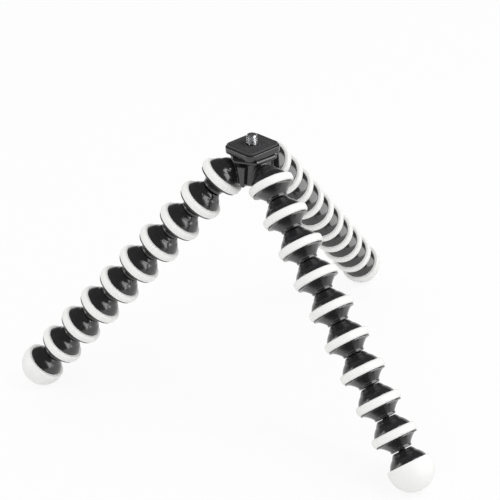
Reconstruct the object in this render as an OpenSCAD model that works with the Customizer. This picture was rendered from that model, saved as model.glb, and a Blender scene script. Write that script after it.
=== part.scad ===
// Flexible three-leg camera tripod: each leg is a chain of ball joints with soft grip rings.
// Millimetres, +Z up. The origin is on the camera screw's axis, at the top of the rubber pad.
// A link's own axis runs from the hub to the foot, with 0 at the middle of its grip ring.

/* [Leg chain] */
// Distance from one grip ring to the next along a leg
link_pitch = 19; // [18:0.25:22]
// Links with a grip ring in each leg, before the foot
ring_links = 8; // [3:1:8]
// Angle of the legs and of the hub's arms from the vertical
leg_splay = 43.2; // [40:0.2:48]
// Turn of the left leg at its first ball joint, seen from above
left_turn = -8.8; // [-12:0.2:12]
// Turn of the front leg at its first ball joint, seen from above
front_turn = 3.8; // [-12:0.2:12]
// Turn of the back leg at its first ball joint, seen from above
back_turn = 1; // [-12:0.2:12]
// Largest bend of one ball joint, either way
bend_max = 25; // [10:1:26]

/* [Grip ring] */
// Outer diameter of a grip ring
ring_od = 26; // [24.5:0.25:28]
// Width of a grip ring along the leg
ring_w = 5; // [4.5:0.1:6]
// Diameter of the seat that a grip ring sits on
ring_seat_d = 19; // [18:0.1:20]
// Radius of a grip ring's outer edges
ring_edge_r = 1.7; // [0.6:0.1:2.1]

/* [Socket shell] */
// Diameter of the dome at its shoulder, against the grip ring
dome_d = 21.6; // [20.8:0.1:22]
// Bulge of the dome between its collar and its shoulder
dome_bulge = 0.4; // [0.2:0.05:0.5]
// Wall of the collar that holds the ball
collar_wall = 1.8; // [1.5:0.05:1.9]
// Angle at the ball's centre, from the link's axis, over which the collar is a true sphere
collar_angle = 64; // [62:1:68]
// Distance from the ball's centre to the middle of the grip ring
ball_rise = 4; // [3.6:0.1:4.4]
// How far the ball seat reaches past the ball's middle
seat_reach = 1; // [0.6:0.1:1.4]

/* [Ball stem] */
// Diameter of the ball
ball_d = 12; // [11.4:0.1:12.4]
// Diameter of the neck that carries the ball
neck_d = 4; // [3.4:0.1:4.4]
// Diameter of the thin flange that holds the grip ring
flange_d = 24; // [23:0.1:24.4]
// Thickness of the flange
flange_t = 0.7; // [0.5:0.05:1]
// Diameter of the trumpet where it leaves the flange
trumpet_d = 21.4; // [20:0.1:22.2]
// Diameter of the trumpet's end, over the collar
trumpet_end_d = 10.6; // [10.4:0.1:11.2]
// Depth of the trumpet's hollow curve
trumpet_dip = 0.5; // [0.3:0.05:1]
// Diameter of the plug that closes the socket shell
plug_d = 14.3; // [13.6:0.1:15]

/* [Foot] */
// Diameter of the round rubber foot
foot_d = 25.8; // [24.5:0.1:27]
// Distance of the foot's centre past the middle of a grip ring
foot_lead = 0.6; // [0:0.1:1.5]
// Thickness of the disc that carries the foot
foot_disc_t = 1.4; // [1:0.1:2]
// Diameter of the stub inside the foot
foot_stub_d = 8; // [6:0.25:9]
// Length of the stub, up to its barb
foot_stub_l = 2.2; // [1.5:0.1:3]
// Diameter of the barb that holds the foot
foot_barb_d = 11; // [9.5:0.25:12]
// Length of the barb
foot_barb_l = 2; // [1.2:0.1:2.6]

/* [Hub] */
// Distance of the hub's grip rings from the axis of the tripod
hub_reach = 18; // [17.5:0.25:20]
// Diameter of the hub's core
core_d = 22; // [21:0.25:23]
// Height of the hub's shoulder above the middle of its grip rings
core_rise = 10.8; // [10.8:0.1:12]
// Depth of the core below the middle of its grip rings
core_drop = 3.2; // [2.5:0.1:4.5]
// Bevel round the core's lower edge
core_bevel = 1.6; // [0.8:0.1:2.2]
// Distance of a rib's face from the axis of the tripod
rib_reach = 14.4; // [13:0.1:15]
// Width of a rib at its top
rib_top_w = 5; // [4:0.1:6]
// Width of a rib at its lower end
rib_foot_w = 2.2; // [1.6:0.1:3.5]
// Step from the hub's shoulder down to the top of a rib
rib_step = 0.4; // [0.2:0.05:0.7]

/* [Head] */
// Diameter of the collet that the lock collar turns on
collet_d = 18; // [17:0.25:19]
// Width of the collet's slits
slit_w = 1; // [0.8:0.1:1.4]
// Depth of the collet's slits
slit_depth = 6; // [4:0.25:7]
// Width of the six-sided lock collar across its flats
collar_af = 25; // [24:0.25:26]
// Diameter that trims the lock collar's corners
collar_trim_d = 28; // [26.5:0.25:28.5]
// Height of the lock collar
collar_h = 3; // [2.6:0.1:4]
// Bevel along the lock collar's edges
collar_bevel = 0.9; // [0.4:0.05:1.1]
// Turn of the lock collar at rest
collar_turn = 36; // [0:1:59]
// Side of the square release plate
plate_w = 24; // [22:0.25:26]
// Corner radius of the release plate
plate_corner_r = 4.5; // [3:0.25:7]
// Thickness of the release plate
plate_t = 3.6; // [3:0.1:5]
// Turn of the release plate about the camera screw
plate_turn = 40; // [0:1:89]
// Diameter of the plate's spigot inside the collet
spigot_d = 13; // [12.5:0.1:13.4]
// Length of the plate's spigot
spigot_l = 6.2; // [5:0.1:7]
// Rim of the release plate that shows round the pad
pad_inset = 0.9; // [0.5:0.1:1.5]
// Height of the pad above the release plate
pad_t = 1.2; // [0.8:0.1:2]

/* [Camera screw] */
// Thread diameter of the camera screw, a quarter of an inch
screw_d = 6.35; // [5:0.01:9.53]
// Length of the screw above the pad
screw_l = 5.5; // [4.5:0.1:6.5]
// Diameter of the plain neck that keeps the screw in the release plate
screw_neck_d = 4.8; // [4:0.1:4.9]
// Bevel at the screw's tip
screw_bevel = 0.7; // [0.3:0.1:1]
// Diameter of the screw's head
screw_head_d = 9.6; // [9:0.1:10]
// Thickness of the screw's head
screw_head_t = 2.4; // [1.8:0.1:3]
// Width of the slot for a coin
coin_slot_w = 1.4; // [1:0.1:1.8]
// Depth of the slot for a coin
coin_slot_depth = 1.2; // [0.8:0.1:1.4]
// Thickness of plate between the screw's head and the pad
web_t = 2.8; // [2:0.1:3.4]

/* [Clearances] */
// Play of a ball in its socket
ball_play = 0.1; // [0.05:0.01:0.15]
// Gap between a trumpet's end and the collar it sweeps over
sweep_gap = 0.35; // [0.3:0.05:0.5]
// Bend left over when a neck is at its limit, in degrees
bend_spare = 3; // [2:0.5:4]
// Bond line between pieces that are fixed together
bond = 0.05; // [0.03:0.01:0.1]
// Play of turning and sliding fits in the head
fit_play = 0.08; // [0.05:0.01:0.1]
// Gap between faces that pass each other in the head
pass_gap = 0.3; // [0.25:0.05:0.5]

/* [Hidden] */
$fn = 96;
LEGS = ["left_leg", "front_leg", "back_leg"];
LEG_TURNS = [left_turn, front_turn, back_turn];
BLACK = "#1d1d1f";
GLOSS_BLACK = "#141416";
WHITE_RUBBER = "#f1f0ec";
GREY_RUBBER = "#3a3a3c";
STEEL = "#b9bbbd";
// Room that a cutting shape has past the face it cuts
over = 1;
// How far a dome runs on inside its collar, so that the two join cleanly
lap = 0.5;

// Link
ring_edge_z = ring_w / 2;
seat_r = ring_seat_d / 2;
socket_r = ball_d / 2 + ball_play;
collar_r = socket_r + collar_wall;
hollow_r = collar_r + sweep_gap;
socket_z = -ball_rise;
next_ball_z = link_pitch - ball_rise;
ledge_z = socket_z + seat_reach;
flange_z = ring_edge_z + flange_t;
trumpet_end_z = next_ball_z - sqrt(pow(hollow_r, 2) - pow(trumpet_end_d / 2, 2));
mouth_tilt = bend_max + bend_spare;
// Where the dome leaves the collar's sphere, and where it meets the grip ring
dome_start = [collar_r * sin(collar_angle), socket_z - collar_r * cos(collar_angle)];
dome_end = [dome_d / 2, -ring_edge_z];
trumpet_start = [trumpet_d / 2, flange_z];
trumpet_end = [trumpet_end_d / 2, trumpet_end_z];
plug_bore_r = plug_d / 2 + bond;

// Foot
foot_disc_z = ring_edge_z + foot_disc_t;
foot_barb_z = foot_disc_z + foot_stub_l;
foot_end_z = foot_barb_z + foot_barb_l;

// Head, from the pad down
plate_top_z = -pad_t;
plate_z = plate_top_z - plate_t;
collet_top_z = plate_z - bond;
collar_top_z = plate_z - pass_gap;
collar_z = collar_top_z - collar_h;
core_top_z = collar_z - fit_play;
hub_ring_z = core_top_z - core_rise;
core_bottom_z = hub_ring_z - core_drop;
spigot_z = plate_z - spigot_l;
head_seat_z = plate_top_z - web_t;
spigot_bore_z = spigot_z - pass_gap;
pad_w = plate_w - 2 * pad_inset;
pad_corner_r = plate_corner_r - pad_inset;
neck_bore_d = screw_neck_d + 2 * fit_play;
thread_room_d = screw_d + 2 * pass_gap;
head_room_d = screw_head_d + 2 * fit_play;

function link_name(leg, step) = str(leg, "_link_", step);
function ring_name(leg, step) = str(leg, "_grip_ring_", step);
function foot_link_name(leg) = str(leg, "_foot_link");
function foot_name(leg) = str(leg, "_foot");
// Direction of a hub arm seen from above: the left one lies along -X, and half a step is midway to the next
function arm_azimuth(i) = 180 + i * 360 / len(LEGS);

// Radius and centre of the arc from p to q that stands off its chord by sag, on the right of p to q
function arc_r(p, q, sag) = pow(norm(q - p), 2) / (8 * sag) + sag / 2;
function arc_centre(p, q, sag) =
    let (along = (q - p) / norm(q - p), right = [along[1], -along[0]])
    (p + q) / 2 - right * (arc_r(p, q, sag) - sag);

// Radius of the socket's mouth at a distance from the ball's centre: the neck lies along it at full bend
function mouth_r(distance) = (neck_d / 2 + distance * sin(mouth_tilt)) / cos(mouth_tilt);

// Half disc on the axis, for a ball or a ball seat
module half_disc(r, z) {
    translate([0, z]) intersection() {
        circle(r);
        translate([0, -r]) square([r, 2 * r]);
    }
}

// Band of a profile from the axis out to r, between two heights
module band(r, z0, z1) {
    translate([0, z0]) square([r, z1 - z0]);
}

// Outside of a socket shell: collar, dome and the seat of the grip ring
module shell_outline() {
    intersection() {
        half_disc(collar_r, socket_z);
        band(collar_r, socket_z - collar_r, dome_end[1]);
    }
    intersection() {
        translate(arc_centre(dome_start, dome_end, dome_bulge))
            circle(arc_r(dome_start, dome_end, dome_bulge));
        band(dome_d, dome_start[1] - lap, dome_end[1]);
    }
    band(seat_r, -ring_edge_z, ring_edge_z - bond);
}

// Bore that takes a plug, open towards the foot
module plug_bore() {
    band(plug_bore_r, ledge_z, ring_edge_z);
}

module socket_shell() {
    mouth_reach = collar_r + over;
    rotate_extrude() difference() {
        shell_outline();
        half_disc(socket_r, socket_z);
        plug_bore();
        polygon([
            [0, socket_z],
            [mouth_r(0), socket_z],
            [mouth_r(mouth_reach), socket_z - mouth_reach],
            [0, socket_z - mouth_reach]
        ]);
    }
}

// Plug with the cup that the ball of the link before turns in
module plug() {
    difference() {
        band(plug_d / 2, ledge_z + bond, ring_edge_z);
        half_disc(socket_r, socket_z);
    }
}

module trumpet() {
    difference() {
        polygon([[0, flange_z], trumpet_start, trumpet_end, [0, trumpet_end_z]]);
        translate(arc_centre(trumpet_end, trumpet_start, trumpet_dip))
            circle(arc_r(trumpet_end, trumpet_start, trumpet_dip));
        half_disc(hollow_r, next_ball_z);
    }
}

module ball_stem() {
    rotate_extrude() {
        plug();
        band(flange_d / 2, ring_edge_z, flange_z);
        trumpet();
        band(neck_d / 2, next_ball_z - hollow_r - over, next_ball_z);
        half_disc(ball_d / 2, next_ball_z);
    }
}

// Core of the foot: plug, disc and barbed stub, grown by room where it is cut from the rubber
module foot_core(room = 0) {
    band(seat_r + room, ring_edge_z - room, foot_disc_z + room);
    band(foot_stub_d / 2 + room, foot_disc_z, foot_end_z);
    band(foot_barb_d / 2 + room, foot_barb_z - room, foot_end_z + room);
}

module ring_solid() {
    inner_r = seat_r + bond;
    outer_r = ring_od / 2;
    half_w = ring_edge_z - bond;
    edge = min(ring_edge_r, half_w - bond);
    rotate_extrude() {
        translate([inner_r, -half_w]) square([outer_r - edge - inner_r, 2 * half_w]);
        translate([inner_r, edge - half_w]) square([outer_r - inner_r, 2 * (half_w - edge)]);
        for (side = [-1, 1]) translate([outer_r - edge, side * (half_w - edge)]) circle(edge);
    }
}

// Places children on a leg: step 0 is the hub's own grip ring, and each link is one step further.
// The hub's arms are a third of a turn apart, and from the ball of its arm on each leg goes its own way.
module on_leg(i, step) {
    own_turn = step > 0 ? LEG_TURNS[i] : 0;
    rotate([0, 0, arm_azimuth(i)])
        translate([hub_reach + next_ball_z * sin(leg_splay), 0, hub_ring_z - next_ball_z * cos(leg_splay)])
            rotate([0, 180 - leg_splay, own_turn]) translate([0, 0, step * link_pitch - next_ball_z]) children();
}

// Link of a leg: a socket shell closed by the ball stem of the next joint
module link() {
    color(BLACK) {
        socket_shell();
        ball_stem();
    }
}

module grip_ring() {
    color(WHITE_RUBBER) ring_solid();
}

module foot_link() {
    color(BLACK) {
        socket_shell();
        rotate_extrude() {
            plug();
            foot_core();
        }
    }
}

module foot() {
    color(WHITE_RUBBER) rotate_extrude() difference() {
        intersection() {
            half_disc(foot_d / 2, foot_lead);
            band(foot_d, bond - ring_edge_z, foot_lead + foot_d / 2);
        }
        band(seat_r + bond, -ring_edge_z, ring_edge_z);
        foot_core(bond);
    }
}

// Arm of the hub: a dome like a link's
module hub_arm() {
    rotate_extrude() shell_outline();
}

// Bore of an arm for the plug of its ball stem
module arm_bore() {
    rotate_extrude() plug_bore();
}

// Rib between two arms, tapering to its foot
module hub_rib() {
    height = core_top_z - core_bottom_z - core_bevel;
    translate([rib_reach, 0, core_bottom_z + core_bevel - rib_step]) rotate([90, 0, -90]) linear_extrude(rib_reach)
        polygon([
            [-rib_foot_w / 2, 0],
            [rib_foot_w / 2, 0],
            [rib_top_w / 2, height],
            [-rib_top_w / 2, height]
        ]);
}

// Core with the collet on top
module hub_core() {
    rotate_extrude() {
        polygon([
            [0, core_bottom_z],
            [core_d / 2 - core_bevel, core_bottom_z],
            [core_d / 2, core_bottom_z + core_bevel],
            [core_d / 2, core_top_z],
            [0, core_top_z]
        ]);
        band(collet_d / 2, core_top_z, collet_top_z);
    }
}

// Bore of the collet for the plate's spigot, and the slits that let the collet close on it
module collet_cuts() {
    rotate_extrude() band(spigot_d / 2 + fit_play, spigot_bore_z, collet_top_z + over);
    for (turn = [0, 90]) rotate([0, 0, turn + plate_turn])
        translate([-collet_d / 2 - over, -slit_w / 2, collet_top_z - slit_depth])
            cube([collet_d + 2 * over, slit_w, slit_depth + over]);
}

module hub_body() {
    color(BLACK) {
        difference() {
            union() {
                hub_core();
                for (i = [0:len(LEGS) - 1]) {
                    on_leg(i, 0) hub_arm();
                    rotate([0, 0, arm_azimuth(i + 0.5)]) hub_rib();
                }
            }
            collet_cuts();
            for (i = [0:len(LEGS) - 1]) on_leg(i, 0) arm_bore();
        }
        for (i = [0:len(LEGS) - 1]) on_leg(i, 0) ball_stem();
    }
}

module hub_grip_rings() {
    for (i = [0:len(LEGS) - 1]) on_leg(i, 0) grip_ring();
}

// Six-sided collar that squeezes the collet round the plate's spigot
module lock_collar() {
    sides = 6;
    wide = collar_af / 2 / cos(180 / sides);
    narrow = wide - collar_bevel / cos(180 / sides);
    color(GLOSS_BLACK) translate([0, 0, collar_z]) rotate([0, 0, collar_turn]) difference() {
        intersection() {
            union() {
                cylinder(h = collar_bevel, r1 = narrow, r2 = wide, $fn = sides);
                translate([0, 0, collar_bevel]) cylinder(h = collar_h - 2 * collar_bevel, r = wide, $fn = sides);
                translate([0, 0, collar_h - collar_bevel])
                    cylinder(h = collar_bevel, r1 = wide, r2 = narrow, $fn = sides);
            }
            cylinder(h = collar_h, d = collar_trim_d);
        }
        translate([0, 0, -over]) cylinder(h = collar_h + 2 * over, d = collet_d + 2 * fit_play);
    }
}

// Square slab with round corners, standing on z = 0
module rounded_slab(w, corner_r, h) {
    straight = w - 2 * corner_r;
    translate([-w / 2, -straight / 2, 0]) cube([w, straight, h]);
    translate([-straight / 2, -w / 2, 0]) cube([straight, w, h]);
    for (x = [-1, 1], y = [-1, 1]) translate([x * straight / 2, y * straight / 2, 0])
        cylinder(h = h, r = corner_r);
}

module quick_release_plate() {
    color(GLOSS_BLACK) rotate([0, 0, plate_turn]) difference() {
        union() {
            translate([0, 0, plate_z]) rounded_slab(plate_w, plate_corner_r, plate_t);
            translate([0, 0, spigot_z]) cylinder(h = spigot_l + plate_t / 2, d = spigot_d);
        }
        translate([0, 0, spigot_z - over]) cylinder(h = head_seat_z - spigot_z + over, d = head_room_d);
        translate([0, 0, head_seat_z - over]) cylinder(h = web_t + 2 * over, d = neck_bore_d);
    }
}

module plate_pad() {
    color(GREY_RUBBER) rotate([0, 0, plate_turn]) difference() {
        translate([0, 0, plate_top_z]) rounded_slab(pad_w, pad_corner_r, pad_t);
        translate([0, 0, plate_top_z - over]) cylinder(h = pad_t + 2 * over, d = thread_room_d);
    }
}

// Screw with a coin slot in its head: its neck turns freely in the release plate, and the thread keeps it there
module camera_screw() {
    head_top_z = head_seat_z - fit_play;
    head_z = head_top_z - screw_head_t;
    color(STEEL) difference() {
        rotate_extrude() {
            band(screw_head_d / 2, head_z, head_top_z);
            band(screw_neck_d / 2, head_top_z, 0);
            band(screw_d / 2, 0, screw_l - screw_bevel);
            polygon([
                [0, screw_l - screw_bevel],
                [screw_d / 2, screw_l - screw_bevel],
                [screw_d / 2 - screw_bevel, screw_l],
                [0, screw_l]
            ]);
        }
        translate([-screw_head_d / 2 - over, -coin_slot_w / 2, head_z - over])
            cube([screw_head_d + 2 * over, coin_slot_w, coin_slot_depth + over]);
    }
}

hub_body();
hub_grip_rings();
lock_collar();
quick_release_plate();
plate_pad();
camera_screw();
for (i = [0:len(LEGS) - 1]) {
    for (step = [1:ring_links]) {
        on_leg(i, step) link();
        on_leg(i, step) grip_ring();
    }
    on_leg(i, ring_links + 1) foot_link();
    on_leg(i, ring_links + 1) foot();
}
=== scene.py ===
"""Looks of a flexible leg tripod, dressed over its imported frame.

Sizes are in millimetres inside the classes and in metres in Blender. A link's own axis runs from the hub to the
foot, with 0 at the middle of its grip ring, and the frame's origin is on the camera screw at the top of the pad.
"""
import logging
import math
from collections.abc import Sequence
from dataclasses import dataclass, field
from enum import Enum

import bmesh
import bpy
from mathutils import Matrix, Vector


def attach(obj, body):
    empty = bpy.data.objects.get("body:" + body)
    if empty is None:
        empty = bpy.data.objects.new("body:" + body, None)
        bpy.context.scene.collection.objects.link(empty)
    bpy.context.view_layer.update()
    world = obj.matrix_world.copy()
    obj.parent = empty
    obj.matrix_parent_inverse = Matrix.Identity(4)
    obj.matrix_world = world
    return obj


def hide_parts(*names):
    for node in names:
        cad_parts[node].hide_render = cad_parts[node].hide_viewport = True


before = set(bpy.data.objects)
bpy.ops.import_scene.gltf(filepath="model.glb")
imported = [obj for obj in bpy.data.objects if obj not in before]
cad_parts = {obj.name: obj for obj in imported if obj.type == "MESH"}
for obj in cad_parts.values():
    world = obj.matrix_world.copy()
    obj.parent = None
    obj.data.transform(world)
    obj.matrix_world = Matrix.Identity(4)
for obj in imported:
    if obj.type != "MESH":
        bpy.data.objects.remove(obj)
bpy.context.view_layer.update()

MM = 0.001
LOG = logging.getLogger("tripod")
Point = tuple[float, float]
Span = tuple[float, float]
Place = tuple[float, float, float]
Loop = list[Vector]
Output = tuple[bpy.types.Node, str | int]

# Points round a turned piece, and round a piece of the head, with their directions
TURN_STEPS = 80
HEAD_STEPS = 144
HEAD_ANGLES = [math.tau * (i + 0.5) / HEAD_STEPS for i in range(HEAD_STEPS)]
# Parts of the arcs in the outlines of a link, a ring and a foot
COLLAR_STEPS = 10
DOME_STEPS = 9
CUP_STEPS = 8
TRUMPET_STEPS = 14
BAND_STEPS = 6
LIP_STEPS = 4
HOLLOW_STEPS = 6
BALL_STEPS = 14
EDGE_STEPS = 8
FOOT_STEPS = 28
# Least radius, in millimetres, of a loop that isn't a point on the axis
OFF_AXIS = 1e-6
# Values between which most of a noise pattern lies
NOISE_SPAN: Span = (0.3, 0.7)
# Radians of a wave pattern in each unit, at a scale of 1
WAVE_RADIANS = 20


def linear(hex_colour: str) -> tuple[float, float, float, float]:
    """Turns an sRGB hex value into linear light.

    Args:
        hex_colour: Colour such as "#1c1c1d".

    Returns:
        Linear red, green and blue, and an alpha of 1.
    """
    channels = [int(hex_colour[i:i + 2], 16) / 255 for i in (1, 3, 5)]
    return (*(c / 12.92 if c <= 0.04045 else ((c + 0.055) / 1.055) ** 2.4 for c in channels), 1.0)


def add_node(tree: bpy.types.NodeTree, kind: str, sockets: dict | None = None, **settings: object) -> bpy.types.Node:
    """Adds a node with its settings, values and links.

    Args:
        tree: Tree that takes the node.
        kind: Blender's name for the node type, without "ShaderNode".
        sockets: Input name or index to a value, or to a pair of a node and the name or index of its output.
        settings: Properties of the node itself.

    Returns:
        The new node.
    """
    node = tree.nodes.new(f"ShaderNode{kind}")
    for key, value in settings.items():
        setattr(node, key, value)
    for key, value in (sockets or {}).items():
        if isinstance(value, tuple) and isinstance(value[0], bpy.types.Node):
            tree.links.new(value[0].outputs[value[1]], node.inputs[key])
        else:
            node.inputs[key].default_value = value
    return node


def per_metre(size_mm: float) -> float:
    """Scale of a pattern whose grains are that many millimetres apart."""
    return 1 / (size_mm * MM)


@dataclass(frozen=True)
class Finish:
    """A material: its names, its colours and the shader that carries them.

    Attributes:
        name: Blender's name, for the real material and how its surface was made.
        slot: The record's material slot. Not used here.
        colour: Main colour.
        shade: Colour of its faint clouding.
        roughness: Roughness of its shiny and of its dull places.
    """

    name: str
    slot: str
    colour: str
    shade: str
    roughness: Span

    def material(self) -> bpy.types.Material:
        """Returns the material, made on first use."""
        return bpy.data.materials.get(self.name) or self.make()

    def make(self) -> bpy.types.Material:
        """Makes the material's nodes. Each finish has its own."""
        raise NotImplementedError

    def start(self) -> tuple[bpy.types.Material, bpy.types.NodeTree, bpy.types.Node, Output]:
        """Starts a material.

        Returns:
            The material, its tree, its shader, and the output that gives a place on the piece in metres.
        """
        material = bpy.data.materials.new(self.name)
        material.use_nodes = True
        material.diffuse_color = linear(self.colour)
        tree = material.node_tree
        return material, tree, tree.nodes["Principled BSDF"], (add_node(tree, "TexCoord"), "Object")

    def tint(self, tree: bpy.types.NodeTree, cloud: bpy.types.Node) -> bpy.types.Node:
        """Mixes the two colours by a cloud pattern, into output 2."""
        colours = {0: (cloud, "Fac"), 6: linear(self.colour), 7: linear(self.shade)}
        return add_node(tree, "Mix", colours, data_type="RGBA")

    def dulled(self, tree: bpy.types.NodeTree, pattern: bpy.types.Node, span: Span) -> bpy.types.Node:
        """Turns a pattern's span of values into roughness, from shiny to dull."""
        (low, high), (shiny, dull) = span, self.roughness
        return add_node(tree, "MapRange", {0: (pattern, "Fac"), 1: low, 2: high, 3: shiny, 4: dull})


def wire(shader: bpy.types.Node, colour: bpy.types.Node, dull: bpy.types.Node, bump: bpy.types.Node) -> None:
    """Links the nodes of a pattern to a shader.

    Args:
        shader: The shader.
        colour: Mix for its colour.
        dull: Range for its roughness.
        bump: Bump for its normal.
    """
    links = shader.id_data.links
    links.new(colour.outputs[2], shader.inputs["Base Color"])
    links.new(dull.outputs["Result"], shader.inputs["Roughness"])
    links.new(bump.outputs["Normal"], shader.inputs["Normal"])


@dataclass(frozen=True)
class MouldedNylon(Finish):
    """Glass-filled nylon from a spark-eroded mould: near black, satin, with soft broad highlights.

    Attributes:
        grain_mm: Spacing of the mould's grain. The real one, about 0.15 mm, is drawn coarser so that it shows.
        grain_depth_mm: Depth of the grain.
        cloud_mm: Size of the duller and shinier clouds that handling leaves.
        roughness: Roughness of the shiny and of the dull clouds.
        ior: Refractive index. Nylon's is about 1.53. This one is higher, to match how bright the gloss looks.
        worn: Colour of rubbed edges.
        edge_span: Pointiness of an edge at which the rubbing starts and is full.
        rub: Share of the worn colour where the rubbing is full.
    """

    grain_mm: float = 0.5
    grain_depth_mm: float = 0.006
    cloud_mm: float = 4.0
    roughness: Span = (0.15, 0.23)
    ior: float = 1.7
    worn: str = "#343437"
    edge_span: Span = (0.53, 0.62)
    rub: float = 0.5

    def make(self) -> bpy.types.Material:
        """Makes the nylon's material.

        Returns:
            The material.
        """
        material, tree, shader, spot = self.start()
        grain = add_node(tree, "TexNoise", {"Vector": spot, "Scale": per_metre(self.grain_mm), "Detail": 3.0})
        cloud = add_node(tree, "TexNoise", {"Vector": spot, "Scale": per_metre(self.cloud_mm), "Detail": 4.0})
        bend = (add_node(tree, "NewGeometry"), "Pointiness")
        first, full = self.edge_span
        rub = add_node(tree, "MapRange", {0: bend, 1: first, 2: full, 3: 0.0, 4: self.rub})
        body = (self.tint(tree, cloud), 2)
        worn = add_node(tree, "Mix", {0: (rub, "Result"), 6: body, 7: linear(self.worn)}, data_type="RGBA")
        bump = add_node(tree, "Bump", {"Height": (grain, "Fac"), "Strength": 0.5, "Distance": self.grain_depth_mm * MM})
        wire(shader, worn, self.dulled(tree, cloud, NOISE_SPAN), bump)
        shader.inputs["IOR"].default_value = self.ior
        return material


@dataclass(frozen=True)
class MouldedRubber(Finish):
    """Soft moulded rubber: matt, with a chalky bloom and a fine pebbled skin.

    Attributes:
        pebble_mm: Spacing of the pebbled skin.
        pebble_depth_mm: Depth of the pebbles.
        bloom_mm: Size of the clouds in the bloom.
        roughness: Roughness of the clean and of the bloomed rubber.
        ior: Refractive index.
    """

    pebble_mm: float = 0.4
    pebble_depth_mm: float = 0.015
    bloom_mm: float = 5.0
    roughness: Span = (0.5, 0.66)
    ior: float = 1.5

    def make(self) -> bpy.types.Material:
        """Makes the rubber's material.

        Returns:
            The material.
        """
        material, tree, shader, spot = self.start()
        pebble = add_node(tree, "TexVoronoi", {"Vector": spot, "Scale": per_metre(self.pebble_mm)}, feature="SMOOTH_F1")
        bloom = add_node(tree, "TexNoise", {"Vector": spot, "Scale": per_metre(self.bloom_mm), "Detail": 5.0})
        bump = add_node(
            tree, "Bump", {"Height": (pebble, "Distance"), "Strength": 0.4, "Distance": self.pebble_depth_mm * MM}
        )
        wire(shader, self.tint(tree, bloom), self.dulled(tree, bloom, NOISE_SPAN), bump)
        shader.inputs["IOR"].default_value = self.ior
        return material


@dataclass(frozen=True)
class PlatedSteel(Finish):
    """Turned and nickel-plated steel: bright, with fine rings left by the tool.

    Attributes:
        feed_mm: Spacing of the tool's rings. The real feed, about 0.1 mm, is drawn much coarser so that it shows.
        ring_depth_mm: Depth of the rings.
        stain_mm: Size of the faint stains.
        roughness: Roughness on and between the rings.
    """

    feed_mm: float = 1.885
    ring_depth_mm: float = 0.006
    stain_mm: float = 2.0
    roughness: Span = (0.16, 0.3)

    def make(self) -> bpy.types.Material:
        """Makes the steel's material.

        Returns:
            The material.
        """
        material, tree, shader, spot = self.start()
        scale = math.tau * per_metre(self.feed_mm) / WAVE_RADIANS
        rings = add_node(
            tree, "TexWave", {"Vector": spot, "Scale": scale, "Distortion": 1.5, "Detail": 2.0},
            wave_type="BANDS", bands_direction="Z",
        )
        stain = add_node(tree, "TexNoise", {"Vector": spot, "Scale": per_metre(self.stain_mm), "Detail": 4.0})
        bump = add_node(tree, "Bump", {"Height": (rings, "Fac"), "Strength": 0.4, "Distance": self.ring_depth_mm * MM})
        wire(shader, self.tint(tree, stain), self.dulled(tree, rings, (0.0, 1.0)), bump)
        shader.inputs["Metallic"].default_value = 1.0
        return material


LINK_NYLON = MouldedNylon("nylon_black_satin_moulded", "black_plastic", "#1f1f20", "#28282a")
# The head's mouldings come from a polished mould: darker, with sharper highlights.
HEAD_NYLON = MouldedNylon(
    "nylon_black_polished_moulded", "gloss_black_plastic", "#161617", "#1d1d20",
    grain_mm=0.9, grain_depth_mm=0.004, cloud_mm=9.0, roughness=(0.12, 0.2),
)
GRIP_RUBBER = MouldedRubber("rubber_white_soft_moulded", "white_rubber", "#f5f5f4", "#eeeeec")
# Pressed from a dark sheet compound: rougher than the grips and dusted by use.
PAD_RUBBER = MouldedRubber(
    "rubber_dark_grey_pressed", "grey_rubber", "#343436", "#3f3f41",
    pebble_mm=0.6, pebble_depth_mm=0.03, bloom_mm=3.0, roughness=(0.68, 0.82),
)
SCREW_STEEL = PlatedSteel("steel_nickel_plated_turned", "steel", "#cdcecf", "#bcbdbf")


def polar(radius: float, angle: float, z: float = 0.0) -> Vector:
    """Point at a distance from the axis, in a direction in radians and at a height."""
    return Vector((radius * math.cos(angle), radius * math.sin(angle), z))


def arc(start: Point, end: Point, sag: float, steps: int) -> list[Point]:
    """Lays points along an arc that stands off its chord on the right.

    Args:
        start: First point.
        end: Last point.
        sag: How far the arc stands off its chord.
        steps: Number of parts.

    Returns:
        The points, both ends among them.
    """
    a, b = Vector(start), Vector(end)
    chord = (b - a).length
    radius = chord ** 2 / (8 * sag) + sag / 2
    along = (b - a) / chord
    centre = (a + b) / 2 - Vector((along.y, -along.x)) * (radius - sag)
    first, last = math.atan2(*(a - centre).yx), math.atan2(*(b - centre).yx)
    turn = (last - first + math.pi) % math.tau - math.pi
    angles = [first + turn * i / steps for i in range(steps + 1)]
    return [(centre.x + radius * math.cos(t), centre.y + radius * math.sin(t)) for t in angles]


def ball_arc(z: float, radius: float, first: float, last: float, steps: int) -> list[Point]:
    """Lays points on a ball round the axis, by the angle from the hub's side.

    Args:
        z: Height of the ball's centre.
        radius: Radius of the ball.
        first: Angle of the first point in radians, 0 on the axis towards the hub.
        last: Angle of the last point.
        steps: Number of parts.

    Returns:
        The points, both ends among them.
    """
    angles = [first + (last - first) * i / steps for i in range(steps + 1)]
    return [(max(radius * math.sin(t), 0.0), z - radius * math.cos(t)) for t in angles]


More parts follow.
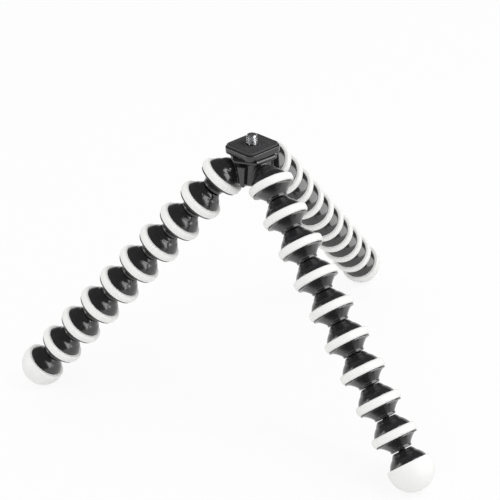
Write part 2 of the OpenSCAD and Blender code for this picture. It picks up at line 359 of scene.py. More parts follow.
class Plan(Enum):
    """Outlines that a piece of the head has seen from above."""

    ROUND = "round"
    SQUARE = "square"
    HEXAGON = "hexagon"

    def loop(self, half: float, corner: float, z: float, turn: float = 0.0) -> Loop:
        """Lays points round the outline, at the same directions for each size of it.

        Args:
            half: Half the width across flats, or the radius of a round outline.
            corner: Radius of a square's corners, or of the circle that trims a hexagon's corners.
            z: Height.
            turn: Turn about the axis in degrees.

        Returns:
            The points in millimetres.
        """
        spin = Matrix.Rotation(math.radians(turn), 3, "Z")
        return [spin @ polar(self.reach(t, half, corner), t, z) for t in HEAD_ANGLES]

    def reach(self, angle: float, half: float, corner: float) -> float:
        """Distance of the outline from the axis in one direction.

        Args:
            angle: Direction in radians.
            half: Half the width across flats, or the radius.
            corner: Radius of a square's corners, or of the circle that trims a hexagon's corners.

        Returns:
            The distance in millimetres.
        """
        if self is Plan.ROUND:
            return half
        if self is Plan.HEXAGON:
            off = (angle % (math.pi / 3)) - math.pi / 6
            return min(half / math.cos(off), corner)
        x, y = abs(math.cos(angle)), abs(math.sin(angle))
        flat = half / max(x, y)
        inner = half - corner
        if flat * min(x, y) <= inner:
            return flat
        across = inner * (x + y)
        return across + math.sqrt(across ** 2 - 2 * inner ** 2 + corner ** 2)


@dataclass
class Shaper:
    """Collects closed skins for one mesh.

    Attributes:
        made: The mesh under construction, in metres.
    """

    made: bmesh.types.BMesh = field(default_factory=bmesh.new)

    def skin(self, loops: Sequence[Loop]) -> None:
        """Joins loops of equal length one after the other.

        Args:
            loops: Loops in millimetres. A loop of one point closes an end on the axis. Where there is none, the last
                loop also joins the first.
        """
        rows = [[self.made.verts.new(p * MM) for p in loop] for loop in loops]
        pairs = list(zip(rows, rows[1:]))
        if all(len(row) > 1 for row in rows):
            pairs.append((rows[-1], rows[0]))
        for low, high in pairs:
            count = max(len(low), len(high))
            for i in range(count):
                j = (i + 1) % count
                corners = [low[i % len(low)], low[j % len(low)], high[j % len(high)], high[i % len(high)]]
                self.made.faces.new(list(dict.fromkeys(corners)))

    def turned(self, outline: Sequence[Point], place: Matrix | None = None) -> None:
        """Turns a half outline about the axis.

        Args:
            outline: Radius and height of each point. Ends on the axis close to a point, and an outline that stays
                off the axis is a loop.
            place: Where the piece goes, in millimetres.
        """
        place = place or Matrix.Identity(4)
        loops = []
        for radius, z in outline:
            steps = TURN_STEPS if radius > OFF_AXIS else 1
            angles = [math.tau * i / steps for i in range(steps)]
            loops.append([place @ polar(radius, t, z) for t in angles])
        self.skin(loops)

    def block(self, low: Loop, high: Loop) -> None:
        """Joins two loops and closes both with flat faces.

        Args:
            low: Loop in millimetres.
            high: Loop of equal length.
        """
        rows = [[self.made.verts.new(p * MM) for p in loop] for loop in (low, high)]
        for i in range(len(low)):
            j = (i + 1) % len(low)
            self.made.faces.new((rows[0][i], rows[0][j], rows[1][j], rows[1][i]))
        for row in rows:
            self.made.faces.new(row)

    def prism(self, plan: Sequence[Point], low: float, high: float) -> None:
        """Raises an outline, seen from above, from one height to another."""
        self.block(*([Vector((x, y, z)) for x, y in plan] for z in (low, high)))

    def soften(self, width: float, parts: int = 2, limit: float = 30.0) -> None:
        """Rounds the sharp edges.

        Args:
            width: Width of the rounding in millimetres.
            parts: Faces across it.
            limit: Least angle of a sharp edge, in degrees.
        """
        bmesh.ops.recalc_face_normals(self.made, faces=self.made.faces)
        sharp = [e for e in self.made.edges if e.is_manifold and e.calc_face_angle(0.0) > math.radians(limit)]
        bmesh.ops.bevel(
            self.made, geom=sharp, offset=width * MM, segments=parts, profile=0.5, affect="EDGES", clamp_overlap=True
        )

    def mesh(self, name: str, finish: Finish, sharp: float = 40.0) -> bpy.types.Mesh:
        """Ends the mesh.

        Args:
            name: Name of the mesh.
            finish: Its finish.
            sharp: Least angle, in degrees, at which the shading breaks.

        Returns:
            The mesh.
        """
        bmesh.ops.recalc_face_normals(self.made, faces=self.made.faces)
        for face in self.made.faces:
            face.smooth = True
        mesh = bpy.data.meshes.new(name)
        self.made.to_mesh(mesh)
        self.made.free()
        mesh.set_sharp_from_angle(angle=math.radians(sharp))
        mesh.materials.append(finish.material())
        return mesh


def turned_mesh(
    name: str, finish: Finish, outlines: Sequence[list[Point]], edge: float, parts: int = 2
) -> bpy.types.Mesh:
    """Turns half outlines about the axis into one mesh with rounded edges.

    Args:
        name: Name of the mesh.
        finish: Its finish.
        outlines: The outlines of its solids.
        edge: Width of the rounding in millimetres.
        parts: Faces across the rounding.

    Returns:
        The mesh.
    """
    shaper = Shaper()
    for outline in outlines:
        shaper.turned(outline)
    shaper.soften(edge, parts)
    return shaper.mesh(name, finish)


def applied(piece: bpy.types.Object, finish: Finish) -> bpy.types.Mesh:
    """Takes the mesh that a piece's modifiers give, and deletes the piece.

    Args:
        piece: Helper object with modifiers.
        finish: Finish of the new mesh.

    Returns:
        The new mesh, shaded smooth.
    """
    bpy.context.view_layer.update()
    mesh = bpy.data.meshes.new_from_object(piece.evaluated_get(bpy.context.evaluated_depsgraph_get()))
    bpy.data.objects.remove(piece)
    mesh.materials.clear()
    mesh.materials.append(finish.material())
    for face in mesh.polygons:
        face.use_smooth = True
    return mesh


def add_object(name: str, held: bpy.types.ID) -> bpy.types.Object:
    """Links a new object.

    Args:
        name: Its name.
        held: The mesh, lamp or camera that it holds.

    Returns:
        The object.
    """
    piece = bpy.data.objects.new(name, held)
    bpy.context.scene.collection.objects.link(piece)
    return piece


def mount(name: str, mesh: bpy.types.Mesh, finish: Finish, body: str, node: str, place: Matrix | None = None) -> None:
    """Puts a piece on its body, in place of its CAD node.

    Args:
        name: Name of the piece.
        mesh: Its mesh.
        finish: Its finish.
        body: Body that it moves with.
        node: CAD node that it stands for.
        place: Where it goes, in metres.
    """
    piece = add_object(name, mesh)
    piece.matrix_world = place or Matrix.Identity(4)
    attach(piece, body)
    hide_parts(node)
    LOG.info("%s on %s: %d faces, %s", name, body, len(mesh.polygons), finish.name)


class Leg(Enum):
    """The legs: direction of the hub's arm seen from above, and the leg's own turn at its first ball, in degrees."""

    left_leg = (180.0, -8.8)
    front_leg = (300.0, 3.8)
    back_leg = (60.0, 1.0)


@dataclass
class LegLine:
    """Where the links of a leg sit.

    Attributes:
        pitch: Distance between grip rings.
        ball_z: Distance from a grip ring to the ball that its link carries.
        splay: Angle of the legs and the hub's arms from the vertical, in degrees.
        reach: Distance of the hub's grip rings from the tripod's axis.
        ring_z: Height of the middle of the hub's grip rings.
        links: Links with a grip ring in each leg.
        twist: Turn from one link to the next about the leg, in degrees.
    """

    pitch: float = 19.0
    ball_z: float = 15.0
    splay: float = 43.2
    reach: float = 18.0
    ring_z: float = -18.98
    links: int = 8
    twist: float = 137.5

    def place(self, leg: Leg, step: int, unit: float = MM) -> Matrix:
        """Gives the place of a link.

        Args:
            leg: The leg.
            step: 0 for the hub's own ring, and one more for each link.
            unit: Size of a millimetre in the result.

        Returns:
            The matrix from the link's own axis to the frame.
        """
        arm, own = (math.radians(angle) for angle in leg.value)
        splay = math.radians(self.splay)
        ball = Vector((self.reach + self.ball_z * math.sin(splay), 0.0, self.ring_z - self.ball_z * math.cos(splay)))
        return (
            Matrix.Rotation(arm, 4, "Z")
            @ Matrix.Translation(ball * unit)
            @ Matrix.Rotation(own if step else 0.0, 4, "Z")
            @ Matrix.Rotation(math.pi - splay, 4, "Y")
            @ Matrix.Translation(Vector((0.0, 0.0, step * self.pitch - self.ball_z)) * unit)
            @ Matrix.Rotation(math.radians(self.twist * step), 4, "Z")
        )

    def string(self, mesh: bpy.types.Mesh, finish: Finish, part: str, kind: str) -> None:
        """Puts a shared mesh at each link of each leg.

        Args:
            mesh: The mesh, along a link's own axis.
            finish: Its finish.
            part: Word for it in the names of the CAD nodes.
            kind: Word that ends the names of the pieces.
        """
        for leg in Leg:
            for step in range(1, self.links + 1):
                node = f"{leg.name}_{part}_{step}"
                mount(f"{node}_{kind}", mesh, finish, f"{leg.name}_{step}", node, self.place(leg, step))


@dataclass
class BallLink:
    """A link of a leg: a socket shell round the ball before it, closed by the stem of the next ball.

    Attributes hold the same sizes as the part's source: ring seat, collar, dome, socket, flange, trumpet and ball. The
    trumpet's end carries a crowned band, with its radius, its width, its crown and the rounding of its lip.
    """

    ring_w: float = 5.0
    seat_d: float = 19.0
    dome_d: float = 21.6
    dome_bulge: float = 0.4
    collar_r: float = 7.9
    collar_angle: float = 64.0
    ball_rise: float = 4.0
    seat_reach: float = 1.0
    socket_r: float = 6.1
    ball_r: float = 6.0
    neck_r: float = 2.0
    mouth_tilt: float = 28.0
    flange_d: float = 24.0
    flange_t: float = 0.7
    trumpet_d: float = 21.4
    trumpet_end_d: float = 10.6
    trumpet_dip: float = 0.5
    hollow_r: float = 8.25
    band_r: float = 6.05
    band_w: float = 0.95
    band_crown: float = 0.1
    band_lip: float = 0.3
    plug_d: float = 14.3
    bond: float = 0.05
    edge: float = 0.16
    line: LegLine = field(default_factory=LegLine)

    @property
    def half(self) -> float:
        """Half the width of a grip ring."""
        return self.ring_w / 2

    def dome(self, first: float) -> list[Point]:
        """Outside of a shell: collar, dome, shoulder and ring seat.

        Args:
            first: Angle in radians at which the collar starts.

        Returns:
            The points, from the hub's side.
        """
        last = math.radians(self.collar_angle)
        collar = ball_arc(-self.ball_rise, self.collar_r, first, last, COLLAR_STEPS)
        shoulder = (self.dome_d / 2, -self.half)
        seat = self.seat_d / 2
        dome = arc(collar[-1], shoulder, self.dome_bulge, DOME_STEPS)
        return collar[:-1] + dome + [(seat, -self.half), (seat, self.half - self.bond)]

    def bore(self) -> list[Point]:
        """Bore for the plug, from the ring's far side to its ledge."""
        radius = self.plug_d / 2 + self.bond
        return [(radius, self.half - self.bond), (radius, self.seat_reach - self.ball_rise)]

    def shell(self) -> list[Point]:
        """Outlines the socket shell.

        Returns:
            A loop off the axis.
        """
        tilt = math.radians(self.mouth_tilt)
        rim, lip = (tilt + math.asin(self.neck_r / r) for r in (self.collar_r, self.socket_r))
        ledge = math.acos(-self.seat_reach / self.socket_r)
        return self.dome(rim) + self.bore() + ball_arc(-self.ball_rise, self.socket_r, ledge, lip, CUP_STEPS)

    def plug(self) -> list[Point]:
        """Outlines the plug with the cup of the ball before it.

        Returns:
            Points from the axis to the ring's far side.
        """
        low = self.seat_reach - self.ball_rise + self.bond
        rim = math.acos(-(low + self.ball_rise) / self.socket_r)
        cup = ball_arc(-self.ball_rise, self.socket_r, math.pi, rim, CUP_STEPS)
        return cup + [(self.plug_d / 2, low), (self.plug_d / 2, self.half)]

    def stem(self) -> list[Point]:
        """Outlines the ball stem: plug, flange, trumpet, neck and ball.

        Returns:
            Points from axis to axis.
        """
        ball_z = self.line.ball_z
        top = self.half + self.flange_t
        end_angle = math.asin(self.trumpet_end_d / 2 / self.hollow_r)
        end = ball_arc(ball_z, self.hollow_r, end_angle, end_angle, 1)[0]
        trumpet = arc(end, (self.trumpet_d / 2, top), self.trumpet_dip, TRUMPET_STEPS)[::-1]
        high = end[1] - self.band_lip
        low = high - self.band_w
        band = arc((self.band_r, low), (self.band_r, high), self.band_crown, BAND_STEPS)
        turns = [math.pi / 2 * i / LIP_STEPS for i in range(1, LIP_STEPS + 1)]
        lip = [(self.band_r - self.band_lip * (1 - math.cos(t)), high + self.band_lip * math.sin(t)) for t in turns]
        neck_angle, ball_angle = (math.asin(self.neck_r / r) for r in (self.hollow_r, self.ball_r))
        hollow = ball_arc(ball_z, self.hollow_r, end_angle, neck_angle, HOLLOW_STEPS)
        ball = ball_arc(ball_z, self.ball_r, ball_angle, math.pi, BALL_STEPS)
        flange = [(self.flange_d / 2, self.half), (self.flange_d / 2, top)]
        return self.plug() + flange + [p for p in trumpet if p[1] < low - self.edge] + band + lip + hollow + ball

    def dress(self) -> None:
        """Puts a link at each step of each leg."""
        mesh = turned_mesh("ball_link", LINK_NYLON, (self.shell(), self.stem()), self.edge)
        self.line.string(mesh, LINK_NYLON, "link", "moulding")


@dataclass
class GripRing:
    """Soft ring on a link's seat.

    Attributes:
        inner_r: Radius of its bore.
        outer_r: Outer radius.
        half: Half its width.
        edge: Radius of its outer edges.
        flash: Height of the line that the mould's halves leave round its middle.
        flash_w: Width of that line.
        sharp: Least angle, in degrees, at which its shading breaks.
    """

    inner_r: float = 9.55
    outer_r: float = 13.0
    half: float = 2.45
    edge: float = 1.7
    flash: float = 0.05
    flash_w: float = 0.4
    sharp: float = 60.0
    line: LegLine = field(default_factory=LegLine)

    def outline(self) -> list[Point]:
        """Outlines the ring.

        Returns:
            A loop off the axis.
        """
        flat, side = self.half - self.edge, self.flash_w / 2
        angles = [math.pi / 2 * i / EDGE_STEPS for i in range(EDGE_STEPS + 1)]
        near = [(self.outer_r - self.edge * (1 - math.sin(t)), -flat - self.edge * math.cos(t)) for t in angles]
        far = [(r, -z) for r, z in reversed(near)]
        crest = [(self.outer_r, -side), (self.outer_r + self.flash, 0.0), (self.outer_r, side)]
        return [(self.inner_r, -self.half)] + near + crest + far + [(self.inner_r, self.half)]

    def dress(self) -> None:
        """Puts a ring on each link, and three on the hub in one piece."""
        shaper = Shaper()
        shaper.turned(self.outline())
        mesh = shaper.mesh("grip_ring", GRIP_RUBBER, self.sharp)
        self.line.string(mesh, GRIP_RUBBER, "grip_ring", "rubber")
        shaper = Shaper()
        for leg in Leg:
            shaper.turned(self.outline(), self.line.place(leg, 0, unit=1.0))
        mesh = shaper.mesh("hub_grip_rings", GRIP_RUBBER, self.sharp)
        mount("hub_grip_rings_rubber", mesh, GRIP_RUBBER, "hub", "hub_grip_rings")


@dataclass
class Foot:
    """Last socket of a leg with its round rubber foot.

    Attributes:
        radius: Radius of the foot.
        lead: Distance of its centre past the middle of a grip ring.
        disc_t: Thickness of the disc inside it.
        stub_r: Radius of the stub.
        stub_l: Length of the stub.
        barb_r: Radius of the barb.
        barb_l: Length of the barb.
        rim: Width of the rounding at the rubber's rim.
    """

    radius: float = 12.9
    lead: float = 0.6
    disc_t: float = 1.4
    stub_r: float = 4.0
    stub_l: float = 2.2
    barb_r: float = 5.5
    barb_l: float = 2.0
    rim: float = 0.45
    link: BallLink = field(default_factory=BallLink)

    def core(self, room: float) -> list[Point]:
        """Disc and barbed stub inside the rubber.

        Args:
            room: Growth on each side, for the hollow that holds it.

        Returns:
            The points, from the disc's edge to the axis.
        """
        disc = self.link.half + self.disc_t
        barb = disc + self.stub_l
        near, step, end = disc + room, barb - room, barb + self.barb_l + room
        seat, stub, wide = (r + room for r in (self.link.seat_d / 2, self.stub_r, self.barb_r))
        return [(seat, near), (stub, near), (stub, step), (wide, step), (wide, end), (0.0, end)]

    def rubber(self) -> list[Point]:
        """Outlines the foot.

        Returns:
            Points from the sole to the bottom of its hollow.
        """
        bond = self.link.bond
        rim_z = bond - self.link.half
        rim = math.acos((self.lead - rim_z) / self.radius)
        dome = ball_arc(self.lead, self.radius, math.pi, rim, FOOT_STEPS)
        return dome + [(self.link.seat_d / 2 + bond, rim_z)] + self.core(bond)

    def dress(self) -> None:
        """Puts a last socket and a foot at the end of each leg."""
        link, line = self.link, self.link.line
        core = link.plug() + [(link.seat_d / 2, link.half)] + self.core(0.0)
        socket = turned_mesh("foot_link", LINK_NYLON, (link.shell(), core), link.edge)
        sole = turned_mesh("foot", GRIP_RUBBER, (self.rubber(),), self.rim, parts=4)
        for leg in Leg:
            body, place = f"{leg.name}_foot", line.place(leg, line.links + 1)
            pieces = (("moulding", f"{body}_link", socket, LINK_NYLON), ("rubber", body, sole, GRIP_RUBBER))
            for kind, node, shared, finish in pieces:
                mesh = shared.copy()
                mesh.transform(place)
                mount(f"{node}_{kind}", mesh, finish, body, node)


@dataclass
class Hub:
    """Hub moulding: core, collet, three arms and the ribs between them, with a ball stem plugged into each arm.

    Attributes:
        top: Height of the shoulder.
        bottom: Height of the underside.
        core_r: Radius of the core.
        bevel: Bevel of the core's lower edge.
        collet_r: Outer radius of the collet.
        collet_top: Height of the collet's top.
        bore_r: Radius of the bore for the plate's spigot.
        bore_z: Height of that bore's floor.
        slit: Width of the collet's slits.
        slit_turn: Turn of the slits, in degrees.
        rib_reach: Distance of a rib's face from the axis.
        rib_top_w: Width of a rib at its top.
        rib_foot_w: Width of a rib at its foot.
        rib_step: Step from the shoulder down to a rib's top.
        rib_root: How far a rib runs into the core.
        rib_turn: Direction of a rib past the arm before it, in degrees.
        fingers: Fingers of the collet.
        finger_root: How far the fingers run into the core.
        finger_steps: Parts of a finger's arcs.
        grid: Size of the cells in which the mouldings are joined, which sets the fillets between them.
        blends: Rounds of smoothing on that grid.
        blend: Strength of each round.
    """

    top: float = -8.18
    bottom: float = -22.18
    core_r: float = 11.0
    bevel: float = 1.6
    collet_r: float = 9.0
    collet_top: float = -4.85
    bore_r: float = 6.58
    bore_z: float = -11.3
    slit: float = 1.0
    slit_turn: float = 40.0
    rib_reach: float = 14.4
    rib_top_w: float = 5.0
    rib_foot_w: float = 2.2
    rib_step: float = 0.4
    rib_root: float = 2.0
    rib_turn: float = 60.0
    fingers: int = 4
    finger_root: float = 1.0
    finger_steps: int = 12
    grid: float = 0.3
    blends: int = 5
    blend: float = 0.5
    link: BallLink = field(default_factory=BallLink)

    def core(self, shaper: Shaper) -> None:
        """Adds the core and its bore.

        Args:
            shaper: Mesh that takes it.
        """
        shaper.turned([
            (0.0, self.bottom), (self.core_r - self.bevel, self.bottom), (self.core_r, self.bottom + self.bevel),
            (self.core_r, self.top), (self.bore_r, self.top), (self.bore_r, self.bore_z), (0.0, self.bore_z),
        ])

    def collet(self, shaper: Shaper) -> None:
        """Adds the fingers of the collet.

        Args:
            shaper: Mesh that takes them.
        """
        shares = [2 * i / self.finger_steps - 1 for i in range(self.finger_steps + 1)]
        for finger in range(self.fingers):
            middle = math.radians(self.slit_turn) + math.tau * (finger + 0.5) / self.fingers
            plan = []
            for radius, way in ((self.bore_r, 1), (self.collet_r, -1)):
                spread = math.pi / self.fingers - math.asin(self.slit / 2 / radius)
                angles = [middle + way * spread * share for share in shares]
                plan += [polar(radius, t).xy for t in angles]
            shaper.prism(plan, self.top - self.finger_root, self.collet_top)

    def arm(self) -> list[Point]:
        """Outline of an arm: a closed dome with the bore for its plug."""
        ledge = self.link.seat_reach - self.link.ball_rise
        return self.link.dome(0.0) + self.link.bore() + [(0.0, ledge)]

    def rib(self, shaper: Shaper, azimuth: float) -> None:
        """Adds a rib.

        Args:
            shaper: Mesh that takes it.
            azimuth: Its direction seen from above, in degrees.
        """
        low, high = self.bottom + self.bevel - self.rib_step, self.top - self.rib_step
        turn = Matrix.Rotation(math.radians(azimuth), 4, "Z")
        half, foot = self.rib_top_w / 2, self.rib_foot_w / 2
        corners = ((-foot, low), (foot, low), (half, high), (-half, high))
        ends = (self.core_r - self.rib_root, self.rib_reach)
        shaper.block(*([turn @ Vector((x, y, z)) for y, z in corners] for x in ends))

    def moulding(self) -> bpy.types.Mesh:
        """Builds the hub's one-piece moulding.

        Returns:
            The mesh, with small fillets where its forms meet.
        """
        shaper = Shaper()
        self.core(shaper)
        self.collet(shaper)
        for leg in Leg:
            shaper.turned(self.arm(), self.link.line.place(leg, 0, unit=1.0))
            self.rib(shaper, leg.value[0] + self.rib_turn)
        piece = add_object("hub_forms", shaper.mesh("hub_forms", LINK_NYLON))
        join = piece.modifiers.new("join", "REMESH")
        join.mode, join.voxel_size, join.adaptivity = "VOXEL", self.grid * MM, 0.0
        blend = piece.modifiers.new("blend", "SMOOTH")
        blend.factor, blend.iterations = self.blend, self.blends
        return applied(piece, LINK_NYLON)

    def dress(self) -> None:
        """Puts the moulding and its three ball stems in place."""
        mount("hub_moulding", self.moulding(), LINK_NYLON, "hub", "hub_body")
        mesh = turned_mesh("hub_ball_stem", LINK_NYLON, (self.link.stem(),), self.link.edge)
        for leg in Leg:
            mount(f"hub_ball_stem_{leg.name}", mesh, LINK_NYLON, "hub", "hub_body", self.link.line.place(leg, 0))


@dataclass
class LockCollar:
    """Six-sided collar that squeezes the collet.

    Attributes:
        low: Height of its lower face.
        height: Its height.
        flats: Width across flats.
        trim_r: Radius that trims its corners.
        bore_r: Radius of its bore.
        bevel: Bevel along its edges.
        turn: Turn at rest, in degrees.
        edge: Width of the rounding on its edges.
    """

    low: float = -8.1
    height: float = 3.0
    flats: float = 25.0
    trim_r: float = 14.0
    bore_r: float = 9.08
    bevel: float = 0.9
    turn: float = 36.0
    edge: float = 0.12

    def dress(self) -> None:
        """Puts the collar in place."""
        half, high = self.flats / 2, self.low + self.height
        narrow = half - self.bevel
        steps = ((narrow, self.low), (half, self.low + self.bevel), (half, high - self.bevel), (narrow, high))
        outside = [Plan.HEXAGON.loop(h, self.trim_r, z, self.turn) for h, z in steps]
        inside = [Plan.ROUND.loop(self.bore_r, 0.0, z, self.turn) for z in (high, self.low)]
        shaper = Shaper()
        shaper.skin(outside + inside)
        shaper.soften(self.edge, limit=20.0)
        mesh = shaper.mesh("lock_collar", HEAD_NYLON, sharp=30.0)
        mount("lock_collar_moulding", mesh, HEAD_NYLON, "lock_collar", "lock_collar")


@dataclass
class ReleasePlate:
    """Square release plate with its spigot, and the ribbed pad on it.

    Attributes:
        width: Side of the plate.
        corner: Radius of its corners.
        top: Height of its upper face.
        bottom: Height of its lower face.
        turn: Turn about the camera screw, in degrees.
        spigot_r: Radius of the spigot.
        spigot_z: Height of the spigot's end.
        head_r: Radius of the room for the screw's head.
        seat_z: Height of the seat for the screw's head.
        neck_r: Radius of the hole for the screw's neck.
        edge: Width of the rounding on its edges.
        pad_inset: Rim of the plate round the pad.
        pad_hole_r: Radius of the pad's hole.
        rib_pitch: Distance between the pad's ribs.
        rib_w: Width of a rib.
        rib_h: Height of a rib.
        rib_root: How far a rib runs into the pad.
        rib_gap: Gap between a rib's ends and the pad's borders.
        pad_border: Width of the pad's borders.
        pad_edge: Width of the rounding on the pad's edges.
    """

    width: float = 24.0
    corner: float = 4.5
    top: float = -1.2
    bottom: float = -4.8
    turn: float = 40.0
    spigot_r: float = 6.5
    spigot_z: float = -11.0
    head_r: float = 4.88
    seat_z: float = -4.0
    neck_r: float = 2.48
    edge: float = 0.35
    pad_inset: float = 0.9
    pad_hole_r: float = 3.475
    rib_pitch: float = 1.7
    rib_w: float = 1.0
    rib_h: float = 0.4
    rib_root: float = 0.1
    rib_gap: float = 0.25
    pad_border: float = 1.2
    pad_edge: float = 0.18

    def plate(self) -> bpy.types.Mesh:
        """Builds the plate with its spigot.

        Returns:
            The mesh.
        """
        half = self.width / 2
        square = [Plan.SQUARE.loop(half, self.corner, z, self.turn) for z in (self.top, self.bottom)]
        rounds = (
            (self.spigot_r, self.bottom), (self.spigot_r, self.spigot_z), (self.head_r, self.spigot_z),
            (self.head_r, self.seat_z), (self.neck_r, self.seat_z), (self.neck_r, self.top),
        )
        shaper = Shaper()
        shaper.skin(square + [Plan.ROUND.loop(r, 0.0, z, self.turn) for r, z in rounds])
        shaper.soften(self.edge, parts=3)
        return shaper.mesh("release_plate", HEAD_NYLON)

    def ribs(self, half: float, corner: float) -> list[tuple[float, float, float]]:
        """Lays the pad's ribs between its borders.

        Args:
            half: Half the pad's side.
            corner: Radius of its corners.

        Returns:
            Both ends along X and the place along Y of each rib, before the plate's turn.
        """
        edge = self.pad_border + self.rib_gap
        inner, hole, bend = half - edge, self.pad_hole_r + edge, corner - self.pad_border
        count = int(inner / self.rib_pitch)
        spans = []
        for i in range(-count, count + 1):
            y = i * self.rib_pitch
            near = math.sqrt(max(hole ** 2 - y ** 2, 0.0))
            over = max(abs(y) - (half - corner), 0.0)
            far = inner - bend + math.sqrt(max(bend ** 2 - over ** 2, 0.0))
            spans += [(near, far, y), (-far, -near, y)] if near else [(-far, far, y)]
        return spans

    def pad(self) -> bpy.types.Mesh:
        """Builds the pad: a slab with a border and ribs across it.

        Returns:
            The mesh.
        """
        half, corner = self.width / 2 - self.pad_inset, self.corner - self.pad_inset
        floor, border, wide = -self.rib_h, self.pad_border, self.rib_w / 2
        loops = [Plan.SQUARE.loop(half, corner, z, self.turn) for z in (self.top, 0.0)]
        loops += [Plan.SQUARE.loop(half - border, corner - border, z, self.turn) for z in (0.0, floor)]
        loops += [Plan.ROUND.loop(self.pad_hole_r + border, 0.0, z, self.turn) for z in (floor, 0.0)]
        loops += [Plan.ROUND.loop(self.pad_hole_r, 0.0, z, self.turn) for z in (0.0, self.top)]
        shaper = Shaper()
        shaper.skin(loops)
        turn = Matrix.Rotation(math.radians(self.turn), 3, "Z")
        for a, b, y in self.ribs(half, corner):
            corners = ((a, y - wide), (b, y - wide), (b, y + wide), (a, y + wide))
            shaper.prism([(turn @ Vector((*c, 0.0))).xy for c in corners], floor - self.rib_root, 0.0)
        shaper.soften(self.pad_edge)
        return shaper.mesh("plate_pad", PAD_RUBBER)

    def dress(self) -> None:
        """Puts the plate and its pad in place."""
        mount("release_plate_moulding", self.plate(), HEAD_NYLON, "release_plate", "quick_release_plate")
        mount("plate_pad_rubber", self.pad(), PAD_RUBBER, "release_plate", "plate_pad")


@dataclass
class CameraScrew:
    """Captive screw with a rolled thread, a plain neck and a head with a coin slot.

    Attributes:
        major_r: Outer radius of the thread.
        depth: Depth of the thread.
        pitch: Distance between its turns, a twentieth of an inch.
        length: Length of the thread above the pad.
        bevel: Bevel at the tip.
        neck_r: Radius of the neck.
        head_r: Radius of the head.
        head_top: Height of the head's upper face.
        head_low: Height of its lower face.
        slot_w: Width of the coin slot.
        slot_depth: Depth of the coin slot.
        over: Room that the slot's cutter has past the head.
        crest: Share of half a turn that is flat at a crest or a root.
        rows: Rows of points along the thread.
        sharp: Least angle, in degrees, at which its shading breaks.
    """

    major_r: float = 3.175
    depth: float = 0.72
    pitch: float = 1.27
    length: float = 5.5
    bevel: float = 0.7
    neck_r: float = 2.4
    head_r: float = 4.8
    head_top: float = -4.08
    head_low: float = -6.48
    slot_w: float = 1.4
    slot_depth: float = 1.2
    over: float = 1.0
    crest: float = 0.12
    rows: int = 64
    sharp: float = 35.0

    def thread_r(self, z: float, angle: float) -> float:
        """Radius of the thread at one place.

        Args:
            z: Height above the pad.
            angle: Direction in radians.

        Returns:
            The radius, flat at the crests and the roots and cut back at the tip's bevel.
        """
        phase = abs(((z / self.pitch - angle / math.tau) % 1.0) * 2 - 1)
        ridge = min(max((phase - self.crest) / (1 - 2 * self.crest), 0.0), 1.0)
        radius = self.major_r - self.depth * (1 - ridge)
        tip = self.major_r - max(0.0, z - (self.length - self.bevel))
        return min(radius, tip)

    def mesh(self) -> bpy.types.Mesh:
        """Builds the screw and cuts its coin slot.

        Returns:
            The mesh.
        """
        head = ((self.head_r, self.head_low), (self.head_r, self.head_top), (self.neck_r, self.head_top))
        loops = [[Vector((0.0, 0.0, self.head_low))]] + [Plan.ROUND.loop(r, 0.0, z) for r, z in head]
        for row in range(self.rows + 1):
            z = self.length * row / self.rows
            loops.append([polar(self.thread_r(z, t), t, z) for t in HEAD_ANGLES])
        loops.append([Vector((0.0, 0.0, self.length))])
        shaper = Shaper()
        shaper.skin(loops)
        piece = add_object("screw_blank", shaper.mesh("screw_blank", SCREW_STEEL))
        cutter = Shaper()
        reach, wide = self.head_r + self.over, self.slot_w / 2
        slot = [(-reach, -wide), (reach, -wide), (reach, wide), (-reach, wide)]
        cutter.prism(slot, self.head_low - self.over, self.head_low + self.slot_depth)
        blade = add_object("coin_slot", cutter.mesh("coin_slot", SCREW_STEEL))
        cut = piece.modifiers.new("slot", "BOOLEAN")
        cut.operation, cut.object, cut.solver = "DIFFERENCE", blade, "EXACT"
        mesh = applied(piece, SCREW_STEEL)
        bpy.data.objects.remove(blade)
        mesh.set_sharp_from_angle(angle=math.radians(self.sharp))
        return mesh

    def dress(self) -> None:
        """Puts the screw in place."""
        mount("camera_screw_steel", self.mesh(), SCREW_STEEL, "camera_screw", "camera_screw")


def in_gloss(tree: bpy.types.NodeTree, path: bpy.types.Node) -> Output:
    """Gives 1 for rays that show the room in gloss or through a clear piece."""
    rays = {0: (path, "Is Glossy Ray"), 1: (path, "Is Transmission Ray")}
    return add_node(tree, "Math", rays, operation="MAXIMUM"), 0


@dataclass(frozen=True)
class SoftBox:
    """A soft studio lamp.

    Attributes:
        name: Its name.
        place: Where it stands, in metres.
        size: Its width and height in metres.
        glow: Brightness of its face, where 1 is paper white.
        gloss_only: Whether it is a card that shows in gloss and puts no light on matt surfaces.
    """

    name: str
    place: Place
    size: Span
    glow: float
    gloss_only: bool = False

    def light(self, target: Vector) -> None:
        """Hangs the lamp and points it.

        Args:
            target: Point that it faces, in metres.
        """
        lamp = bpy.data.lights.new(self.name, "AREA")
        lamp.shape = "RECTANGLE"
        lamp.size, lamp.size_y = self.size
        lamp.energy = self.glow * math.pi * self.size[0] * self.size[1]
        piece = add_object(self.name, lamp)
        piece.location = self.place
        piece.visible_camera, piece.visible_diffuse = False, not self.gloss_only
        piece.rotation_euler = (target - Vector(self.place)).to_track_quat("-Z", "Y").to_euler()


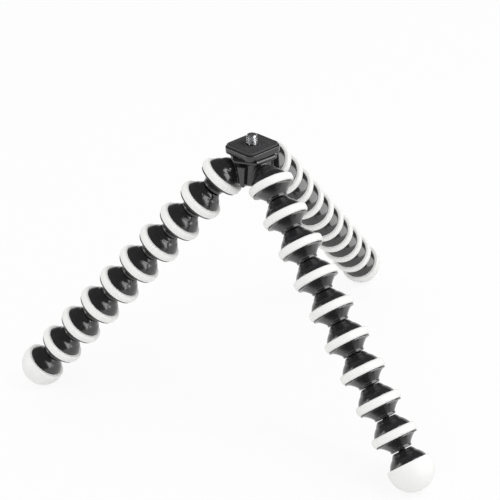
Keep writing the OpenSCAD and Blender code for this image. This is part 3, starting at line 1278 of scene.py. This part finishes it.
@dataclass
class Studio:
    """Floor, backdrop, lamps and camera.

    Attributes:
        floor_z: Height of the floor under the feet, in millimetres.
        floor_size: Side of the floor in metres.
        floor_colour: Colour of the floor.
        floor_roughness: Roughness of the floor.
        white_share: Share of plain white in the floor that the camera sees; the rest shows the shadow.
        ambient: Strength of the room's light on the object.
        ceiling: Brightness overhead, where 1 is white, as seen in gloss.
        front: Brightness of the room in front of the object, as seen in gloss.
        wall_top: Z of the directions in which the wall has turned into the ceiling.
        front_y: Y of the directions in which the front is at its dimmest. It fades out at 0.
        boxes: The lamps.
        aim: Point that the lamps face, in metres.
        lens: Focal length in millimetres.
        sensor: Width of the camera's frame in millimetres.
        clip: Nearest and furthest distance that the camera sees, in metres.
        eye: Place of the camera in millimetres.
        right: The image's right in the frame.
        up: The image's up in the frame.
    """

    floor_z: float = -156.97
    floor_size: float = 8.0
    floor_colour: str = "#f0f0f0"
    floor_roughness: float = 0.9
    white_share: float = 0.86
    ambient: float = 0.95
    ceiling: float = 0.1
    front: float = 0.08
    wall_top: float = 0.3
    front_y: float = -0.6
    boxes: tuple[SoftBox, ...] = (
        SoftBox("top_soft_box", (0.63, -0.31, 0.97), (0.4, 0.4), 5.0),
        SoftBox("right_card", (1.13, -0.39, 0.44), (1.5, 1.3), 3.8, gloss_only=True),
        SoftBox("left_card", (-1.23, -0.13, 0.25), (0.6, 0.9), 2.4, gloss_only=True),
    )
    aim: Place = (0.0, 0.0, -0.07)
    lens: float = 118.69
    sensor: float = 36.0
    clip: Span = (0.01, 50.0)
    eye: Place = (0.2, -835.0, 375.4)
    right: Place = (0.99806, -0.02411, -0.05744)
    up: Place = (0.06204, 0.46733, 0.88190)

    def floor(self) -> None:
        """Lays the floor: white to the eye, with the object's shadow on it."""
        half, z = self.floor_size / 2, self.floor_z * MM
        corners = [(-half, -half, z), (half, -half, z), (half, half, z), (-half, half, z)]
        mesh = bpy.data.meshes.new("floor")
        mesh.from_pydata(corners, [], [(0, 1, 2, 3)])
        material = bpy.data.materials.new("paper_white_sweep")
        material.use_nodes = True
        tree = material.node_tree
        paper = tree.nodes["Principled BSDF"]
        paper.inputs["Base Color"].default_value = linear(self.floor_colour)
        paper.inputs["Roughness"].default_value = self.floor_roughness
        glow = add_node(tree, "Emission", {"Color": linear("#ffffff"), "Strength": 1.0})
        path = add_node(tree, "LightPath")
        rays = {0: (path, "Is Camera Ray"), 1: in_gloss(tree, path)}
        seen = add_node(tree, "Math", rays, operation="MAXIMUM")
        share = add_node(tree, "Math", {0: (seen, 0), 1: self.white_share}, operation="MULTIPLY")
        mix = add_node(tree, "MixShader", {0: (share, 0), 1: (paper, 0), 2: (glow, 0)})
        tree.links.new(mix.outputs[0], tree.nodes["Material Output"].inputs["Surface"])
        mesh.materials.append(material)
        add_object("studio_floor", mesh)

    def room(self) -> None:
        """Lights the room: an even glow on the object, white to the eye, with a dim front and ceiling in gloss."""
        world = bpy.data.worlds.new("studio_room")
        bpy.context.scene.world = world
        world.use_nodes = True
        tree = world.node_tree
        way = add_node(tree, "SeparateXYZ", {0: (add_node(tree, "TexCoord"), "Generated")})
        wall = add_node(
            tree, "MapRange", {0: (way, "Z"), 1: 0.0, 2: self.wall_top, 3: 1.0, 4: self.ceiling},
            interpolation_type="SMOOTHSTEP",
        )
        round_room = add_node(
            tree, "MapRange", {0: (way, "Y"), 1: self.front_y, 2: 0.0, 3: self.front, 4: (wall, "Result")},
            interpolation_type="SMOOTHSTEP",
        )
        path = add_node(tree, "LightPath")
        lit = add_node(tree, "MapRange", {0: in_gloss(tree, path), 3: self.ambient, 4: (round_room, "Result")})
        spread = add_node(tree, "MapRange", {0: (path, "Is Camera Ray"), 3: (lit, "Result"), 4: 1.0})
        tree.links.new(spread.outputs["Result"], tree.nodes["Background"].inputs["Strength"])
        tree.nodes["Background"].inputs["Color"].default_value = linear("#ffffff")

    def camera(self) -> None:
        """Sets the camera where the photograph was taken from."""
        data = bpy.data.cameras.new("camera")
        data.lens, data.sensor_width = self.lens, self.sensor
        data.clip_start, data.clip_end = self.clip
        piece = add_object("camera", data)
        right = Vector(self.right).normalized()
        back = right.cross(Vector(self.up)).normalized()
        turn = Matrix((right, back.cross(right), back)).transposed()
        piece.matrix_world = Matrix.Translation(Vector(self.eye) * MM) @ turn.to_4x4()
        bpy.context.scene.camera = piece

    def dress(self) -> None:
        """Sets up the floor, the room, the lamps and the camera."""
        bpy.context.scene.view_settings.view_transform = "Standard"
        self.floor()
        self.room()
        for box in self.boxes:
            box.light(Vector(self.aim))
        self.camera()


def main() -> None:
    """Builds the studio and each sub-assembly."""
    logging.basicConfig(level=logging.INFO, format="%(name)s: %(message)s")
    Studio().dress()
    for assembly in (Hub(), LockCollar(), ReleasePlate(), CameraScrew(), BallLink(), GripRing(), Foot()):
        assembly.dress()
        LOG.info("%s done", type(assembly).__name__)
    bpy.context.view_layer.update()


if __name__ == "__main__":
    main()
